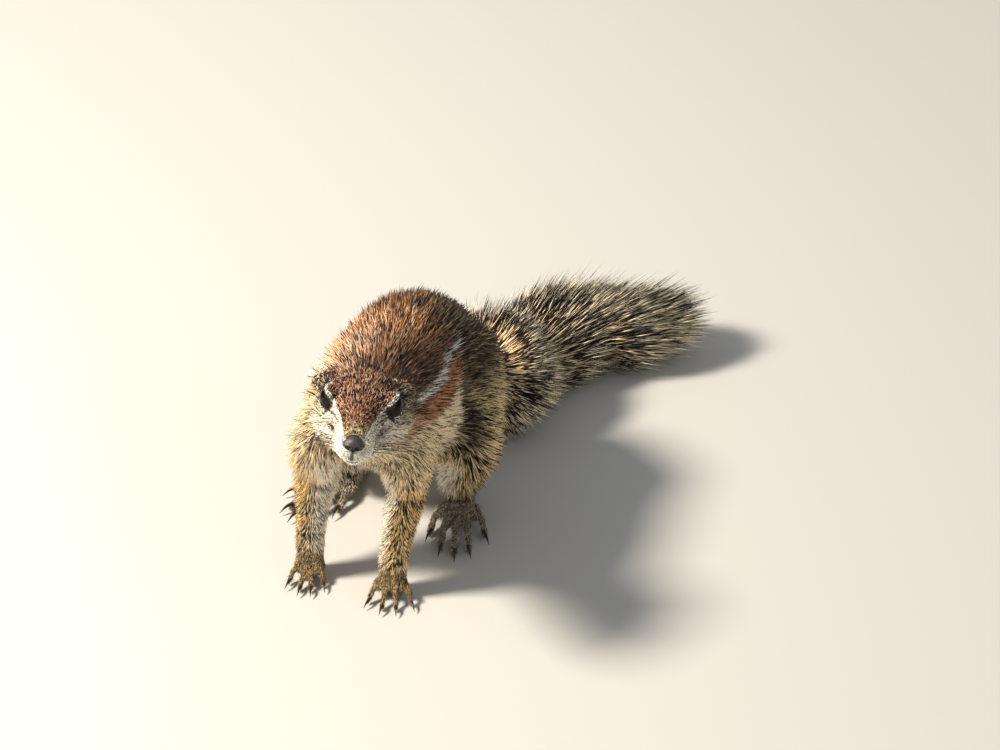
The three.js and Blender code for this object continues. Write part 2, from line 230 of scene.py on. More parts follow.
def tube(path, radii, sides=16):
    """A closed round tube: a ring of corners round each place on the path, and a corner at each end."""
    path, radii = np.asarray(path, float), np.asarray(radii, float)
    ahead = np.gradient(path, axis=0)
    ahead /= np.linalg.norm(ahead, axis=1, keepdims=True)
    across = np.cross(ahead, [0, 0, 1.0])
    across /= np.linalg.norm(across, axis=1, keepdims=True)
    over = np.cross(across, ahead)
    angle = np.linspace(0, 2 * np.pi, sides, endpoint=False)
    ring = np.cos(angle)[None, :, None] * across[:, None] + np.sin(angle)[None, :, None] * over[:, None]
    place = (path[:, None] + ring * radii[:, None, None]).reshape(-1, 3)
    return np.vstack([place, path[0], path[-1]]), wrapped(len(path), sides)


def joined(pieces):
    """The corners and faces of several pieces as those of one."""
    starts = np.cumsum([0] + [len(place) for place, _ in pieces])
    faces = [[i + start for i in face] for (_, part), start in zip(pieces, starts) for face in part]
    return np.vstack([place for place, _ in pieces]), faces


def smooth_path(stops, count):
    """A smooth curve through the stops: each stretch is a cubic with the same slope as its neighbours."""
    stops = np.asarray(stops, float)
    slope = np.gradient(stops, axis=0)
    t = np.linspace(0, len(stops) - 1, count)
    i = np.minimum(t.astype(int), len(stops) - 2)
    u = (t - i)[:, None]
    return (
        (2 * u**3 - 3 * u**2 + 1) * stops[i]
        + (u**3 - 2 * u**2 + u) * slope[i]
        + (3 * u**2 - 2 * u**3) * stops[i + 1]
        + (u**3 - u**2) * slope[i + 1]
    )


tail_stops = [rump_middle * [1, 1, 0.7] + [0, 0.012, 0], tail_start, tail_bend, tail_low, tail_far]
TAIL_LINE = smooth_path(tail_stops, 60)
GIRTH_AT = [0, 0.27, 0.37, 0.46, 0.55, 1]  # shares of the tail's line, and the radius there in metres
GIRTH = [0.0120, 0.0150, 0.0145, 0.0110, 0.0070, 0.0032]


def mesh_object(name, place, faces):
    """A piece made of these corners and faces, put in the scene."""
    mesh = bpy.data.meshes.new(name)
    mesh.from_pydata(np.asarray(place).tolist(), [], faces)
    made = bpy.data.objects.new(name, mesh)
    bpy.context.scene.collection.objects.link(made)
    return made


def arrays(mesh):
    """Corner places and normals, and the faces as triangles."""
    place, normal = np.empty((2, len(mesh.vertices) * 3), np.float32)
    mesh.vertices.foreach_get("co", place)
    mesh.vertices.foreach_get("normal", normal)
    mesh.calc_loop_triangles()
    tri = np.empty(len(mesh.loop_triangles) * 3, np.int32)
    mesh.loop_triangles.foreach_get("vertices", tri)
    return place.reshape(-1, 3).astype(float), normal.reshape(-1, 3).astype(float), tri.reshape(-1, 3)


def reshape(mesh, place):
    """Moves the mesh's corners and returns their places and normals afresh."""
    mesh.vertices.foreach_set("co", place.astype(np.float32).ravel())
    mesh.update()
    return arrays(mesh)[:2]


def settle(mesh, place, strength, rounds, give_back=0.0):
    """Moves each corner part of the way to the mean of its neighbours, as often as `rounds` says. Each move
    can be followed by one the other way, a share `give_back` of it, so that thin parts don't shrink."""
    edge = np.empty(len(mesh.edges) * 2, np.int32)
    mesh.edges.foreach_get("vertices", edge)
    one, other = edge.reshape(-1, 2).T
    share = np.bincount(one, minlength=len(place)) + np.bincount(other, minlength=len(place))
    pulls = [1.0] if give_back == 0 else [1.0, -give_back]
    for pull in pulls * rounds:
        total = np.stack([
            np.bincount(one, place[other, k], len(place)) + np.bincount(other, place[one, k], len(place))
            for k in range(3)
        ], axis=1)
        place = place + (total / share[:, None] - place) * (pull * strength)[:, None]
    return place


def hump(distance, reach):
    """1 at no distance, falling off as a bell whose half width is about `reach`."""
    return np.exp(-((distance / reach) ** 2))


def step(value, low, high):
    """0 below `low` and 1 above `high`, with a smooth rise between them."""
    t = np.clip((value - low) / (high - low), 0, 1)
    return t * t * (3 - 2 * t)


hides = [grown_copy(node) for node in FLESH + ["eye_L", "eye_R"] if not node.startswith("tail_")]
hides.append(tube(TAIL_LINE, np.interp(np.linspace(0, 1, len(TAIL_LINE)), GIRTH_AT, GIRTH)))
skin = mesh_object("skin", *joined(hides))
shell = skin.modifiers.new("one_hide", "REMESH")
shell.mode, shell.voxel_size = "VOXEL", SKIN_STEP
graph = bpy.context.evaluated_depsgraph_get()
skin.data = bpy.data.meshes.new_from_object(skin.evaluated_get(graph))
skin.modifiers.clear()

# Sunk by the coat's depth: all of it on the trunk, and almost none on the muzzle, paws and lids.
EYE_RADIUS = 0.0048
place = arrays(skin.data)[0]
weight = nearness(place)
place = settle(skin.data, place, blended(weight, SOFTNESS, 0.6), 40)
place, normal = reshape(skin.data, settle(skin.data, place, np.full(len(place), 0.55), 40, give_back=1.04))
weight = nearness(place)
head_share = weight[:, PARTS.index("head")]
rear = in_head(place)[:, 1]
muzzle = step(0.026 - rear, 0.002, 0.022) * head_share
eye_gap = np.min([np.linalg.norm(place - eye_middle[side], axis=1) for side in "LR"], axis=0)
ear_gap = np.min([np.linalg.norm(place - centre(f"ear_{side}"), axis=1) for side in "LR"], axis=0)
depth = blended(weight, COAT_DEPTH, 0) * (1 - 0.65 * muzzle) * (0.25 + 0.75 * step(eye_gap, 0.0055, 0.011))
depth *= (1 + 0.7 * step(rear, 0.034, 0.050) * head_share) * (0.4 + 0.6 * step(ear_gap, 0.004, 0.009))
before = normal
place = settle(skin.data, place - normal * depth[:, None], np.full(len(place), 0.55), 8, give_back=1.04)
place, normal = reshape(skin.data, place)

# Where a thin fold of the trunk turned inside out as it sank, it is smoothed flat.
turned_over = ((before * normal).sum(1) < 0.4) & (depth > 0.004)
fold = np.repeat(turned_over[:, None], 3, axis=1).astype(float)
fold = settle(skin.data, fold, np.full(len(place), 0.9), 6)[:, 0]
place = settle(skin.data, place, 0.9 * step(fold, 0.0, 0.15), 80)
place, normal = reshape(skin.data, place)


def divide_finer(chosen):
    """Splits the skin's faces in four where `chosen`, a test of the middles of faces, says so."""
    bm = bmesh.new()
    bm.from_mesh(skin.data)
    bm.faces.ensure_lookup_table()
    middles = np.array([f.calc_center_median() for f in bm.faces])
    edges = list({e for i in np.flatnonzero(chosen(middles)) for e in bm.faces[i].edges})
    bmesh.ops.subdivide_edges(bm, edges=edges, cuts=1, use_grid_fill=True, smooth=0)
    bmesh.ops.triangulate(bm, faces=[f for f in bm.faces if len(f.verts) > 4])
    bm.to_mesh(skin.data)
    bm.free()


# The head is divided finer, and finer still round the eyes, ears and mouth, for the lids, rims and lips.
def on_head(points):
    """True where points are on the head, before the nape."""
    return (in_head(points)[:, 1] < 0.049) & (nearness(points)[:, PARTS.index("head")] > 0.5)


def in_detail(points):
    """True near the eyes and ears, and at the nose and lips."""
    spots = [eye_middle["L"], eye_middle["R"], centre("ear_L"), centre("ear_R")]
    near = np.min([np.linalg.norm(points - spot, axis=1) for spot in spots], axis=0) < 0.0072
    return near | (in_head(points)[:, 1] < 0.008)


divide_finer(on_head)
divide_finer(in_detail)
place = arrays(skin.data)[0]
head_share = nearness(place)[:, PARTS.index("head")]
place, normal = reshape(skin.data, settle(skin.data, place, 0.5 * head_share, 4))

# Folds of the face, in millimetres in the head's frame: whisker pads, the groove under the nose, the cleft
# of the mouth, chin, brow and cheek, each a bell that swells or sinks the skin along its normal.
face = in_head(place) * 1000
out, rear, up = np.abs(face[:, 0]), face[:, 1], face[:, 2]


def bell(out_at, rear_at, up_at, reach):
    """1 at a place in the head's frame and at its mirror place, falling off all round it."""
    return hump(np.sqrt((out - out_at) ** 2 + (rear - rear_at) ** 2 + (up - up_at) ** 2), reach)


cleft = -7.4 - 0.055 * rear
NOSE_RADII = np.array([0.0043, 0.0034, 0.0034])  # of the hollow for the pad: across, front to back, upright
swell = 0.8 * bell(4.6, 6.0, -4.4, 3.2) + 0.3 * bell(0, 4.5, -10.5, 3.4)
swell += 0.9 * bell(10.5, 23, 15.0, 4.2) + 1.0 * bell(15, 35, -5, 8) - 1.0 * bell(9, 12, -11, 4)
swell -= 0.55 * hump(out, 0.55) * step(-up, 3.2, 4.2) * step(up - cleft, 0, 0.6) * step(8 - rear, 0, 2)
swell -= 1.1 * hump(up - cleft, 0.55) * step(17.5 - rear, 0, 3) * step(out, -1, 0.3)
place = place + normal * (swell * head_share * 0.001)[:, None]
collar = hump(np.linalg.norm(place - nose_middle, axis=1), 0.0056) * step(up, -4.5, -1.5)
place = place - 0.0008 * collar[:, None] * HEAD_AXES[1]
from_nose = in_head(place) - in_head((nose_middle - 0.0005 * HEAD_AXES[2])[None])
ratio = np.linalg.norm(from_nose / NOSE_RADII, axis=1)
hug = step(1.5 - ratio, 0, 0.35)
place = place + (from_nose * (hug * (0.96 / np.maximum(ratio, 0.1) - 1))[:, None]) @ HEAD_AXES
narrow = 1 - 0.30 * step(-up, 3, 11) * step(18 - rear, 0, 10) * head_share
lift_chin = 0.0012 * step(-up, 6, 11) * step(14 - rear, 0, 8) * head_share
place = from_head(in_head(place) * np.stack([narrow, 0 * narrow + 1, 0 * narrow + 1], axis=1))
place = place + lift_chin[:, None] * up_of_head

# Lids: round each eye the skin lies on the eyeball, up to the rim of a slanted opening that is straighter on
# top than below, and inside the opening it drops behind the eyeball's surface.
LOOK = {"L": np.array([0.93, -0.30, 0.27]), "R": np.array([-0.93, -0.30, 0.27])}
LID_THICKNESS = 0.00030
OPENING = {"long": 0.0041, "over": 0.0025, "under": 0.0036}


def round_the_eye(points, name):
    """Where points lie round an eye: their offset from its middle, their distance, how far they are turned
    from where it looks, and how many times outside its opening they are, which slants up to the rear."""
    look = LOOK[name] / np.linalg.norm(LOOK[name])
    rearward = np.array([0, 1.0, 0.42])
    rearward -= look * (rearward @ look)
    rearward /= np.linalg.norm(rearward)
    upward = np.cross(look, rearward) * np.sign(LOOK[name][0])
    offset = in_head(points) - in_head(eye_middle[name][None])
    gap = np.linalg.norm(offset, axis=1)
    facing = (offset @ look) / gap
    rise = offset @ upward
    height = np.where(rise > 0, OPENING["over"], OPENING["under"])
    oval = np.hypot(offset @ rearward / OPENING["long"], rise / height) * EYE_RADIUS / gap
    return offset, gap, facing, np.where(facing > 0, oval, 9.0)


for name in LOOK:
    from_eye, gap, facing, oval = round_the_eye(place, name)
    near = step(-gap, -0.0105, -0.0065) * (facing > -0.1)
    lid = EYE_RADIUS + LID_THICKNESS + 0.00022 * hump(oval - 1.12, 0.10)
    radius = np.where(gap < lid + 0.0008, lid, gap)
    radius = gap + (radius - gap) * near
    inside = step(1.03 - oval, 0, 0.05) * (facing > 0.1) * (gap < 0.0085)
    radius = radius * (1 - inside) + (EYE_RADIUS - 0.0009) * inside
    place = from_head(in_head(eye_middle[name][None]) + from_eye * (radius / gap)[:, None])

# Ears: this animal has hardly any. Each is a low rim of thin skin that stands round a dark upright slit,
# higher at the slit's back edge, and is drawn out of the hide of the head.
EAR_MIDDLE = {side: in_head(centre(f"ear_{side}")[None])[0] for side in "LR"}


def round_the_ear(places, name):
    """How many times outside the ear's slanted oval rim places in the head's frame are, and how far to the
    rear of its middle."""
    ear = EAR_MIDDLE[name]
    rise = (places[:, 2] - ear[2]) / 0.0038
    rear = (places[:, 1] - ear[1] + 0.0006 * rise) / 0.0018
    return np.where(places[:, 0] * ear[0] > 0, np.hypot(rear, rise), 9.0), rear


face = in_head(place)
for name in EAR_MIDDLE:
    ring, rear = round_the_ear(face, name)
    own = step(face[:, 0] * np.sign(EAR_MIDDLE[name][0]), 0.008, 0.010)
    outward = np.array([np.sign(EAR_MIDDLE[name][0]), -0.10, 0.20])
    rim = 0.0044 * hump(ring - 1.10, 0.34) * (1 + 0.30 * np.tanh(rear * 2))
    hollow = 0.0024 * hump(ring, 0.62)
    face = face + outward * ((rim - hollow) * own)[:, None]
place, normal = reshape(skin.data, from_head(face))
skin.data.polygons.foreach_set("use_smooth", [True] * len(skin.data.polygons))
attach(skin, "root")
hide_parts(*FLESH)

# Markings of the coat, shared by the skin and the hair: cinnamon back, dark crown, pale lines over and under
# the eye, a white stripe along each side with rufous under it, cream belly, ochre legs, grizzled haunches.
def srgb(red, green, blue):
    """A colour given as it is seen, turned into the linear light that materials mix."""
    seen = np.array([red, green, blue], float) / 255
    return np.where(seen <= 0.04045, seen / 12.92, ((seen + 0.055) / 1.055) ** 2.4)


CINNAMON, CHESTNUT, UMBER = srgb(212, 146, 90), srgb(188, 120, 82), srgb(66, 44, 31)
CREAM, WHITE, STRAW = srgb(250, 232, 192), srgb(255, 250, 236), srgb(236, 210, 150)
OCHRE, RUFOUS, OLIVE = srgb(232, 196, 132), srgb(188, 114, 62), srgb(190, 168, 122)
INK, PINKISH, GREY = srgb(26, 19, 16), srgb(236, 190, 160), srgb(176, 162, 138)


def mixed(one, other, share):
    """One colour turned into the other, for each point by its own share."""
    return one * (1 - share[:, None]) + other * share[:, None]


def along_line(points, line):
    """For each point: how far along the line the nearest place on the line is, from 0 to 1."""
    gap = ((points[:, None] - line[None]) ** 2).sum(2)
    return gap.argmin(1) / (len(line) - 1)


TRUNK_MIDDLE = (centre("chest")[0] + centre("rump")[0]) / 2
STRIPE_Y = [-0.085, -0.057, -0.042, -0.026]
STRIPE_Z = [0.0970, 0.0925, 0.0935, 0.0915]  # the stripe's height at each of those
HAUNCH_Z = [0.050, 0.064, 0.076, 0.086, 0.093]  # heights of the haunch's front edge
HAUNCH_Y = [-0.051, -0.047, -0.0465, -0.041, -0.027]


def beside_stripe(points):
    """How far above the white stripe of its side a point is. The stripe runs level along the flank."""
    return points[:, 2] - np.interp(points[:, 1], STRIPE_Y, STRIPE_Z)


def part_share(weight, *names):
    """How much each point belongs to the named parts together."""
    return weight[:, [i for i, part in enumerate(PARTS) if part.rstrip("_LR123") in names]].sum(1)


def trunk_markings(points, normals):
    """Cinnamon back, darkened to umber on the side away from the light as painted shade mixed with a darker
    saddle, a white stripe with rufous under it, and a cream belly.
    """
    above = beside_stripe(points) * 1000
    across, along, level = points[:, 0] - TRUNK_MIDDLE, points[:, 1], points[:, 2]
    flank = step(np.abs(across), 0.011, 0.017)
    # saddle_and_shade: umber over the back. It is partly a darker saddle and mostly painted shade on the
    # animal's left side, which faces away from the light; it also darkens the right flank from the middle of
    # the body back.
    saddle_and_shade = step(along, -0.046, -0.022) * step(across, 0.006, 0.017)
    saddle_and_shade = np.maximum(saddle_and_shade, 0.65 * step(across, 0.004, 0.018))
    saddle_and_shade = np.maximum(saddle_and_shade, 0.8 * step(along, -0.036, -0.014) * step(-across, 0.014, 0.022))
    colour = mixed(CINNAMON, UMBER, 0.9 * saddle_and_shade)
    behind_ears = step(-along, 0.040, 0.060) * step(across, -0.022, -0.010)
    over_rump = step(along, -0.044, -0.018) * step(across, -0.034, -0.018)
    colour = mixed(colour, UMBER * 1.8, 0.65 * np.maximum(behind_ears, over_rump))
    # Pinkish paling on the front of the animal's right side, which faces the light, is painted light.
    colour = mixed(colour, PINKISH, 0.4 * step(-across, -0.004, 0.010) * step(-along, 0.038, 0.054))
    colour = mixed(colour, RUFOUS, flank * step(-above, 1.5, 3.5) * step(-along, 0.004, 0.026))
    colour = mixed(colour, CREAM, flank * step(-above, 9.5, 12.5))
    in_reach = step(along, -0.088, -0.080) * step(-along, 0.022, 0.030)
    colour = mixed(colour, WHITE, 0.95 * hump(above, 1.5) * in_reach * flank)
    colour = mixed(colour, CREAM, step(0.066 - level, 0, 0.012))
    return mixed(colour, WHITE, 0.7 * step(-normals[:, 2], 0.35, 0.9))


def neck_markings(points, normals):
    """Dark nape over a cream throat, with rufous and the white stripe's front end on the side."""
    above = beside_stripe(points) * 1000
    across, along = points[:, 0] - TRUNK_MIDDLE, points[:, 1]
    tone = mixed(CREAM, UMBER * 1.7, 0.95 * step(normals[:, 2], 0.15, 0.75))
    tone = mixed(tone, RUFOUS, 0.55 * step(across, 0.012, 0.020) * step(-np.abs(above + 7), -7, -3))
    stripe = hump(above, 1.9) * step(np.abs(across), 0.011, 0.017) * step(along, -0.094, -0.084)
    return mixed(tone, WHITE, 0.9 * stripe)


def limb_markings(colour, points, normals, weight):
    """Ochre arms, sooty haunches that pale to straw, grey hind feet, and white on the inner sides."""
    across, along, level = points[:, 0] - TRUNK_MIDDLE, points[:, 1], points[:, 2]
    arm = part_share(weight, "upper_arm", "forearm")
    colour = mixed(colour, mixed(OCHRE, CREAM, 0.7 * step(level, 0.045, 0.07)), arm)
    leg = part_share(weight, "thigh", "shank")
    behind = along - np.interp(level, HAUNCH_Z, HAUNCH_Y)
    haunch = step(behind, -0.001, 0.003) * step(np.abs(across), 0.012, 0.018)
    # The band along the haunch's front edge is near black: partly black-tipped hair, partly painted shade in
    # the crease between flank and thigh.
    edge = 0.97 * step(0.0085 - behind, -0.004, 0.004) * step(level, 0.040, 0.062)
    tone = mixed(STRAW, UMBER * 0.8, np.maximum(edge, 0.93 * step(level, 0.058, 0.084)))
    covered = np.maximum(haunch * step(level, 0.034, 0.044), leg * step(behind, -0.004, 0.002))
    colour = mixed(colour, tone, covered)
    colour = mixed(colour, STRAW, part_share(weight, "shank") * step(0.052 - level, 0, 0.008))
    colour = mixed(colour, OCHRE * 0.58, part_share(weight, "fore_foot"))
    colour = mixed(colour, GREY * 1.1, part_share(weight, "hind_foot"))
    inner = step(-normals[:, 0] * np.sign(across), -0.15, 0.5)
    return mixed(colour, WHITE, 0.9 * inner * (arm + leg))


def head_markings(points):
    """Round the head, from the lip up over the brow: a pale side with a brown cheek, a pale line over the
    eye, and a chestnut crown. `turn` is the angle round the head, in degrees up from level."""
    face = in_head(points) * 1000
    out, rear, up = np.abs(face[:, 0]), face[:, 1], face[:, 2]
    turn = np.degrees(np.arctan2(up - np.interp(rear, [4, 20, 36], [-3, -0.6, 1.5]), out))
    border = np.interp(rear, [6, 18, 33, 46], [52, 48, 44.5, 33])
    tone = mixed(CREAM * 0.3 + WHITE * 0.7, CREAM * 0.72, step(rear, 20, 32) * step(up, -12, -6))
    tone = mixed(tone, UMBER * 2.8, 0.75 * hump(np.hypot((rear - 16) / 5.5, (turn - 12) / 13), 1))
    tone = mixed(tone, UMBER * 3.2, 0.4 * step(rear, 33, 40) * step(up, -6, 4))
    tone = mixed(tone, WHITE, 0.95 * hump(np.hypot((rear - 22.5) / 4.5, (turn - 17) / 7), 1))
    tone = mixed(tone, WHITE, 0.85 * hump(np.hypot((rear - 25) / 6.5, (turn + 13) / 8), 1))
    crown = mixed(OLIVE, CHESTNUT, step(rear, 6, 11))
    crown = mixed(crown, UMBER * 1.7, 0.75 * step(rear, 33, 45))
    tone = mixed(tone, crown, step(turn, border - 1.5, border + 1.5))
    line = hump(turn - border + 3.2, 2.7) * step(rear, 4, 8) * step(40 - rear, 0, 4)
    tone = mixed(tone, WHITE, 0.9 * line)
    tear = hump(turn - 30 - 1.45 * (19.7 - rear), 2.2) * step(rear, 11.5, 14) * step(21 - rear, 0, 1)
    back_tear = hump(turn - 29 + 1.37 * (rear - 35.7), 3.0) * step(rear, 29, 32) * step(44 - rear, 0, 3)
    tone = mixed(tone, UMBER * 0.7, 0.75 * np.maximum(tear, back_tear))
    tone = mixed(tone, WHITE, 0.95 * step(-1.6 - up, 0, 2.5) * step(20 - rear, 0, 8))
    # The dark line down the groove under the nose is painted shade in the groove.
    groove = hump(out, 0.8) * step(-up, 2, 3) * step(8 + up, 0, 1) * step(8 - rear, 0, 2)
    tone = mixed(tone, UMBER, 0.9 * groove)
    tone = mixed(tone, CREAM, step(-up, 10, 14))
    for name in EAR_MIDDLE:
        ring = round_the_ear(in_head(points), name)[0]
        tone = mixed(tone, CREAM * 0.8, 0.8 * step(1.35 - ring, 0, 0.2))
        # The ear's slit is painted near black, as painted shade in its opening.
        tone = mixed(tone, INK, 0.95 * step(1.0 - ring, 0, 0.2))
        offset, gap, _, oval = round_the_eye(points, name)
        corner = step(1.9 - oval, 0, 0.3) * step(-offset[:, 1], 0.0020, 0.0030)
        corner = corner * step(border - 4 - turn, 0, 1) * (gap < 0.0078)
        tone = mixed(tone, UMBER * 0.8, 0.9 * corner)
        tone = mixed(tone, UMBER, 0.9 * step(1.22 - oval, 0, 0.06) * (gap < 0.0070))
    return tone


def markings(points, normals, weight):
    """The coat's main colour at each point, from its place on the body."""
    colour = trunk_markings(points, normals)
    colour = mixed(colour, neck_markings(points, normals), part_share(weight, "neck"))
    colour = limb_markings(colour, points, normals, weight)
    colour = mixed(colour, CREAM, part_share(weight, "tail"))
    return mixed(colour, head_markings(points), step(part_share(weight, "head"), 0.3, 0.7))


def colour_layer(mesh, name, colours):
    """Gives each corner of the mesh a colour, by which its finish is painted."""
    layer = mesh.color_attributes.new(name, "FLOAT_COLOR", "POINT")
    layer.data.foreach_set("color", np.c_[colours, np.ones(len(colours))].astype(np.float32).ravel())


def number_layer(mesh, name, numbers):
    """Gives each corner of the mesh a number, for its finish to use."""
    mesh.attributes.new(name, "FLOAT", "POINT").data.foreach_set("value", numbers.astype(np.float32))


def new_material(name, roughness, specular=0.5):
    """A material, with its tree of nodes and its shader."""
    material = bpy.data.materials.new(name)
    material.use_nodes = True
    shader = material.node_tree.nodes["Principled BSDF"]
    shader.inputs["Roughness"].default_value = roughness
    shader.inputs["Specular IOR Level"].default_value = specular
    return material, material.node_tree, shader


def add_node(tree, kind, fed_by=None, **values):
    """Adds a node to a material's tree, sets its values, and feeds its inputs from other nodes' outputs."""
    node = tree.nodes.new(kind)
    for name, value in values.items():
        if hasattr(node, name):
            setattr(node, name, value)
        else:
            node.inputs[name.replace("_", " ")].default_value = value
    for name, output in (fed_by or {}).items():
        tree.links.new(output, node.inputs[name])
    return node


def carried(tree, name):
    """A node that reads the colour or the number that each corner of the piece carries."""
    return add_node(tree, "ShaderNodeAttribute", attribute_name=name)


def relief(tree, shader, kind, strength, distance, height="Fac", **values):
    """Raises the surface finely by a texture that is fixed to the piece, and gives back the texture."""
    spots = add_node(tree, "ShaderNodeTexCoord").outputs["Object"]
    texture = add_node(tree, kind, {"Vector": spots}, **values)
    bump = add_node(tree, "ShaderNodeBump", {"Height": texture.outputs[height]})
    bump.inputs["Strength"].default_value = strength
    bump.inputs["Distance"].default_value = distance
    tree.links.new(bump.outputs["Normal"], shader.inputs["Normal"])
    return texture


def ramp_stops(node, stops):
    """Gives a colour ramp these stops, each a place and a grey or a colour."""
    ramp = node.color_ramp
    while len(ramp.elements) < len(stops):
        ramp.elements.new(0.5)
    for element, (place, colour) in zip(ramp.elements, stops):
        element.position = place
        grey = np.ndim(colour) == 0
        element.color = (colour, colour, colour, 1) if grey else (*colour, 1)


# The skin's own finish: the markings, darker than the hair over them, with a fine grain and the dry wrinkled
# dark leather of the lids and the soles, and painted shade in the ear's hollow.
place, normal, _ = arrays(skin.data)
weight = nearness(place)
marked = markings(place, normal, weight)
skin_colour = marked * 0.22
for name in LOOK:
    _, gap, _, oval = round_the_eye(place, name)
    skin_colour = mixed(skin_colour, INK * 0.6, step(1.15 - oval, 0, 0.05) * (gap < 0.0068))
for name in EAR_MIDDLE:
    ring, _ = round_the_ear(in_head(place), name)
    skin_colour = mixed(skin_colour, PINKISH * 0.6, step(1.5 - ring, 0, 0.4))
    # The ear's hollow is darkened as painted shade in the opening.
    skin_colour = mixed(skin_colour, INK * 0.4, step(0.85 - ring, 0, 0.3))
feet = part_share(weight, "fore_foot", "hind_foot")
muzzle = step(13 - in_head(place)[:, 1] * 1000, 0, 9) * part_share(weight, "head")
skin_colour = mixed(skin_colour, marked * 0.75, np.maximum(feet, muzzle))
skin_colour = mixed(skin_colour, UMBER, feet * step(-normal[:, 2], 0.4, 0.8))
colour_layer(skin.data, "coat", skin_colour)
leather, tree, shader = new_material("skin", 0.7, 0.3)
grain = relief(tree, shader, "ShaderNodeTexNoise", 0.5, 0.0003, Scale=900.0, Detail=4.0)
shade = add_node(tree, "ShaderNodeMapRange", {"Value": grain.outputs["Fac"]}, To_Min=0.75, To_Max=1.25)
tint = add_node(tree, "ShaderNodeVectorMath", {"Scale": shade.outputs["Result"]}, operation="SCALE")
tree.links.new(carried(tree, "coat").outputs["Color"], tint.inputs[0])
tree.links.new(tint.outputs["Vector"], shader.inputs["Base Color"])
skin.data.materials.clear()
skin.data.materials.append(leather)

# Eyes: large globes of dark glass, as a mounted animal has, near black with a brown ring. Each is set in its
# lids, and turned out and a little forward.
def globe(middle, axis, radii, rows=28, columns=48):
    """A closed round body: rings of corners from one pole of the axis to the other, with a corner at each."""
    axis = axis / np.linalg.norm(axis)
    one = np.cross(axis, [0, 0, 1.0])
    one /= np.linalg.norm(one)
    other = np.cross(axis, one)
    polar = np.linspace(np.pi, 0, rows + 1)[1:-1]
    turn = np.linspace(0, 2 * np.pi, columns, endpoint=False)
    spoke = np.cos(turn)[:, None] * one * radii[0] + np.sin(turn)[:, None] * other * radii[1]
    rings = np.sin(polar)[:, None, None] * spoke + np.cos(polar)[:, None, None] * axis * radii[2]
    place = np.vstack([rings.reshape(-1, 3), -axis * radii[2], axis * radii[2]]) + middle
    return place, wrapped(rows - 1, columns)


EYEBALL_RADIUS = EYE_RADIUS * 0.985
glass, tree, shader = new_material("wet_eye", 0.09, 0.11)
iris = add_node(tree, "ShaderNodeValToRGB", {"Fac": carried(tree, "from_pupil").outputs["Fac"]})
ramp_stops(iris, [
    (0.0, srgb(6, 5, 5)), (0.34, srgb(8, 6, 6)), (0.44, srgb(30, 20, 14)), (0.62, srgb(10, 8, 7)),
])
tree.links.new(iris.outputs["Color"], shader.inputs["Base Color"])
for name, look in LOOK.items():
    axis = (look / np.linalg.norm(look)) @ HEAD_AXES
    place, faces = globe(eye_middle[name], axis, [EYEBALL_RADIUS] * 3)
    eye = mesh_object(f"eyeball_{name}", place, faces)
    facing = (place - eye_middle[name]) @ axis / EYEBALL_RADIUS
    number_layer(eye.data, "from_pupil", np.arccos(np.clip(facing, -1, 1)) / (np.pi / 2))
    eye.data.polygons.foreach_set("use_smooth", [True] * len(faces))
    eye.data.materials.append(glass)
    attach(eye, "root")
    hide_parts(f"eye_{name}")

# Nose: a bare pad of grey-brown leather, wide on top and narrow at the lip, with a comma-shaped nostril on
# each side and a groove between them.
PAD_RADII = [0.0047, 0.0034, 0.0034]
PAD_HEIGHTS = [-3.7, -2.6, -1.6, -0.4, 1.0, 2.4, 3.4]  # in millimetres from the middle of the pad
PAD_WIDTHS = [0.55, 0.78, 0.98, 1.04, 0.90, 0.78, 0.66]  # shares of the full width at those heights
place, faces = globe(np.zeros(3), np.array([0, -1.0, 0.0001]), PAD_RADII, 60, 96)
local = place * 1000
local[:, 0] *= np.interp(local[:, 2], PAD_HEIGHTS, PAD_WIDTHS)
comma = np.hypot((np.abs(local[:, 0]) - 2.25 - 0.30 * local[:, 2]) / 1.1, (local[:, 2] + 1.1) / 0.8)
front = step(-local[:, 1], -0.6, 1.2)
push = -1.4 * hump(comma, 0.9) + 0.25 * hump(comma - 1.4, 0.4)
push -= 0.45 * hump(local[:, 0], 0.38) * step(0.4 - local[:, 2], 0, 1.2)
local = local + (local / np.linalg.norm(local, axis=1, keepdims=True)) * (push * front)[:, None]
pad = mesh_object("nose_pad", nose_middle + ((local - [0, 0, 0.5]) / 1000) @ HEAD_AXES, faces)
shadow = (1 - 0.9 * hump(comma, 1.05) * front) * (1 - 0.9 * step(-local[:, 2], -0.3, 1.4))
colour_layer(pad.data, "coat", srgb(64, 55, 50) * np.clip(shadow, 0.06, 1)[:, None])
pad.data.polygons.foreach_set("use_smooth", [True] * len(faces))
rhinarium, tree, shader = new_material("nose_leather", 0.4, 0.5)
tree.links.new(carried(tree, "coat").outputs["Color"], shader.inputs["Base Color"])
relief(tree, shader, "ShaderNodeTexVoronoi", 0.45, 0.0002, height="Distance", Scale=2600.0)
pad.data.materials.append(rhinarium)
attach(pad, "root")
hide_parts("nose")

# Claws: long, dark and blunt, for digging. Each is a horn that curves down from the toe and narrows to its
# tip, with the root hidden in the toe.
horn, tree, shader = new_material("claw_horn", 0.35, 0.5)
shade = add_node(tree, "ShaderNodeValToRGB", {"Fac": carried(tree, "along").outputs["Fac"]})
ramp_stops(shade, [
    (0.0, srgb(74, 60, 50)), (0.25, srgb(40, 32, 28)), (0.85, srgb(24, 20, 18)), (1.0, srgb(92, 80, 68)),
])
tree.links.new(shade.outputs["Color"], shader.inputs["Base Color"])
relief(tree, shader, "ShaderNodeTexNoise", 0.3, 0.0002, Scale=1400.0, Detail=3.0)


